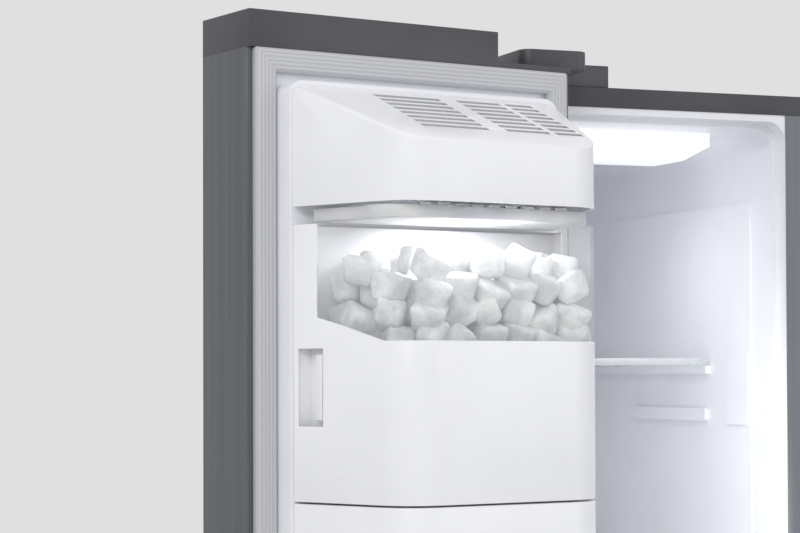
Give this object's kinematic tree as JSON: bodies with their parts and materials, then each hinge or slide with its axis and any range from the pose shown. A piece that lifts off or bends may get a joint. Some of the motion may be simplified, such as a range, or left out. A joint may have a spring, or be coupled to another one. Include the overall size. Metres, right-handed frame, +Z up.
{
  "type": "side by side refrigerator",
  "caption": "Side by side refrigerator with both doors standing open, an ice maker and clear-fronted ice bucket on the freezer door, shelves, drawers and door bins.",
  "frame": {"origin": "on the floor, under the middle of the cabinet's footprint, doors not counted", "axes": "+Z up, -Y towards the person who opens the doors, +X to that person's right; the freezer is on the left"},
  "size_m": [1.5423, 1.2744, 1.78],
  "materials": {
    "brushed_steel": "vertical brushed, smoke grey",
    "wrapper_paint": "textured grey paint",
    "galvanised": "galvanised sheet",
    "foam": "polyurethane foam",
    "white_liner": "vacuum formed, satin gloss",
    "white_plastic": "moulded, satin",
    "grey_trim": "moulded, fine texture",
    "gasket": "soft PVC",
    "clear_plastic": "clear moulded",
    "ice": "frosted ice",
    "light_cover": "opal",
    "black_plastic": "moulded",
    "metal_parts": "plain",
    "hinge_steel": "zinc plated",
    "shelf_glass": "tempered",
    "rubber_feet": "moulded"
  },
  "bodies": {
    "cabinet": {"outer_wrapper": "wrapper_paint", "back_panel": "galvanised", "foam_body": "foam", "freezer_liner": "white_liner", "fridge_liner": "white_liner", "top_strip": "grey_trim", "mullion_strip": "brushed_steel", "light_lenses": "light_cover", "freezer_duct_cover": "white_liner", "fridge_duct_cover": "white_liner", "evaporator": "metal_parts", "base_plate": "galvanised", "compressor": "black_plastic", "condenser": "metal_parts", "condenser_fan_motor": "metal_parts", "machine_room_cover": "galvanised", "toe_grille": "grey_trim", "hinges": "hinge_steel", "hinge_covers": "grey_trim", "power_inlet": "black_plastic", "water_valve": "metal_parts"},
    "freezer_door": {"freezer_door_skin": "brushed_steel", "freezer_door_foam": "foam", "freezer_door_liner": "white_liner", "freezer_door_gasket": "gasket", "freezer_door_top_cap": "grey_trim", "freezer_door_bottom_cap": "grey_trim", "freezer_door_handle_pocket": "grey_trim", "dispenser_housing": "black_plastic", "ice_maker_cover": "white_plastic", "ice_maker_drive": "white_plastic", "lower_panel": "white_plastic"},
    "fridge_door": {"fridge_door_skin": "brushed_steel", "fridge_door_foam": "foam", "fridge_door_liner": "white_liner", "fridge_door_gasket": "gasket", "fridge_door_top_cap": "grey_trim", "fridge_door_bottom_cap": "grey_trim", "fridge_door_handle_pocket": "grey_trim"},
    "ice_bucket": {"ice_bucket": "white_plastic", "bucket_window": "clear_plastic", "ice_load": "ice"},
    "bucket_latch": {"bucket_latch": "white_plastic"},
    "auger": {"auger": "metal_parts"},
    "ice_tray": {"ice_tray": "white_plastic"},
    "dispenser_lever": {"dispenser_lever": "black_plastic"},
    "drip_tray": {"drip_tray": "black_plastic"},
    "freezer_door_bin_1": {"freezer_door_bin_1": "clear_plastic"},
    "freezer_door_bin_2": {"freezer_door_bin_2": "clear_plastic"},
    "fridge_door_bin_1": {"fridge_door_bin_1": "clear_plastic"},
    "fridge_door_bin_2": {"fridge_door_bin_2": "clear_plastic"},
    "freezer_shelf_1": {"freezer_shelf_1": "shelf_glass"},
    "freezer_shelf_2": {"freezer_shelf_2": "shelf_glass"},
    "fridge_shelf_1": {"fridge_shelf_1": "shelf_glass"},
    "fridge_shelf_2": {"fridge_shelf_2": "shelf_glass"},
    "freezer_drawer": {"freezer_drawer": "clear_plastic"},
    "crisper_drawer": {"crisper_drawer": "clear_plastic"},
    "levelling_legs": {"levelling_legs": "rubber_feet"},
    "rear_rollers": {"rear_rollers": "rubber_feet"},
    "condenser_fan": {"condenser_fan": "black_plastic"}
  },
  "joints": [
    {"name": "freezer_door_hinge", "type": "hinge", "parent": "cabinet", "child": "freezer_door", "pos_m": [-0.436, -0.425, 0.9], "axis": [0, 0, -1], "range_deg": [-168.3, 0]},
    {"name": "fridge_door_hinge", "type": "hinge", "parent": "cabinet", "child": "fridge_door", "pos_m": [0.436, -0.425, 0.9], "axis": [0, 0, 1], "range_deg": [-120, 48.3]},
    {"name": "ice_bucket_slide", "type": "slide", "parent": "freezer_door", "child": "ice_bucket", "axis": [0.2028, -0.9792, 0], "range_m": [0, 0.16]},
    {"name": "bucket_latch_press", "type": "slide", "parent": "ice_bucket", "child": "bucket_latch", "axis": [-0.2028, 0.9792, 0], "range_m": [0, 0.008], "stiffness_N_per_m": 300},
    {"name": "auger_spin", "type": "hinge", "parent": "ice_bucket", "child": "auger", "pos_m": [-0.5862, -0.60214, 1.33], "axis": [-0.9792, -0.2028, 0], "continuous": true},
    {"name": "ice_tray_tip", "type": "hinge", "parent": "freezer_door", "child": "ice_tray", "pos_m": [-0.59657, -0.60633, 1.61], "axis": [-0.9792, -0.2028, 0], "range_deg": [0, 140]},
    {"name": "dispenser_lever_press", "type": "hinge", "parent": "freezer_door", "child": "dispenser_lever", "pos_m": [-0.61543, -0.45603, 1.111], "axis": [-0.9792, -0.2028, 0], "range_deg": [0, 9], "stiffness_Nm_per_rad": 0.6},
    {"name": "drip_tray_slide", "type": "slide", "parent": "freezer_door", "child": "drip_tray", "axis": [-0.2028, 0.9792, 0], "range_m": [0, 0.05]},
    {"name": "levelling_legs_screw", "type": "slide", "parent": "cabinet", "child": "levelling_legs", "axis": [0, 0, -1], "range_m": [0, 0.015]},
    {"name": "rear_rollers_spin", "type": "hinge", "parent": "cabinet", "child": "rear_rollers", "pos_m": [0, 0.306, 0.02], "axis": [1, 0, 0], "continuous": true},
    {"name": "condenser_fan_spin", "type": "hinge", "parent": "cabinet", "child": "condenser_fan", "pos_m": [0, 0.236, 0.171], "axis": [0, 1, 0], "continuous": true},
    {"name": "freezer_door_bin_1_lift", "type": "slide", "parent": "freezer_door", "child": "freezer_door_bin_1", "axis": [0, 0, 1], "range_m": [0, 0.1]},
    {"name": "freezer_door_bin_2_lift", "type": "slide", "parent": "freezer_door", "child": "freezer_door_bin_2", "axis": [0, 0, 1], "range_m": [0, 0.1]},
    {"name": "fridge_door_bin_1_lift", "type": "slide", "parent": "fridge_door", "child": "fridge_door_bin_1", "axis": [0, 0, 1], "range_m": [0, 0.1]},
    {"name": "fridge_door_bin_2_lift", "type": "slide", "parent": "fridge_door", "child": "fridge_door_bin_2", "axis": [0, 0, 1], "range_m": [0, 0.1]},
    {"name": "freezer_shelf_1_slide", "type": "slide", "parent": "cabinet", "child": "freezer_shelf_1", "axis": [0, -1, 0], "range_m": [0, 0.15]},
    {"name": "freezer_shelf_2_slide", "type": "slide", "parent": "cabinet", "child": "freezer_shelf_2", "axis": [0, -1, 0], "range_m": [0, 0.15]},
    {"name": "fridge_shelf_1_slide", "type": "slide", "parent": "cabinet", "child": "fridge_shelf_1", "axis": [0, -1, 0], "range_m": [0, 0.15]},
    {"name": "fridge_shelf_2_slide", "type": "slide", "parent": "cabinet", "child": "fridge_shelf_2", "axis": [0, -1, 0], "range_m": [0, 0.15]},
    {"name": "freezer_drawer_slide", "type": "slide", "parent": "cabinet", "child": "freezer_drawer", "axis": [0, -1, 0], "range_m": [0, 0.22]},
    {"name": "crisper_drawer_slide", "type": "slide", "parent": "cabinet", "child": "crisper_drawer", "axis": [0, -1, 0], "range_m": [0, 0.22]}
  ]
}
